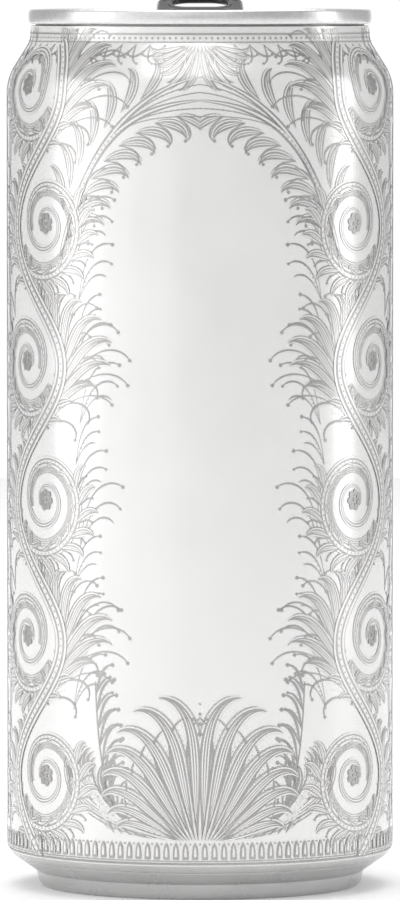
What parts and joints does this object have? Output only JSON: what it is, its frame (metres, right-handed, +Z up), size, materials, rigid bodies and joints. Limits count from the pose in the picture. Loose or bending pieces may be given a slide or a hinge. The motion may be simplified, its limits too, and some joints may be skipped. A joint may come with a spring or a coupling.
{
  "type": "drink can",
  "caption": "Shut tall drink can in white lacquer with silver scroll ornament, a bare aluminium end and a black pull tab",
  "frame": {"origin": "the centre of the stand ring's flat, at the bottom of the can", "axes": "+Z is up along the can's axis; -Y is the front, towards the drinking mouth and the ornament's bare panel; +X is to the right of the front"},
  "size_m": [0.0662, 0.0662, 0.1526],
  "materials": {
    "printed_wall": "satin white lacquer on aluminium",
    "silver_ink": "silver ornament showing through the lacquer",
    "bare_aluminium": "bright bare aluminium",
    "black_tab": "gloss black lacquer"
  },
  "bodies": {
    "root": {"can_body": "printed_wall", "can_end": "bare_aluminium", "pull_tab": "black_tab"}
  },
  "joints": []
}
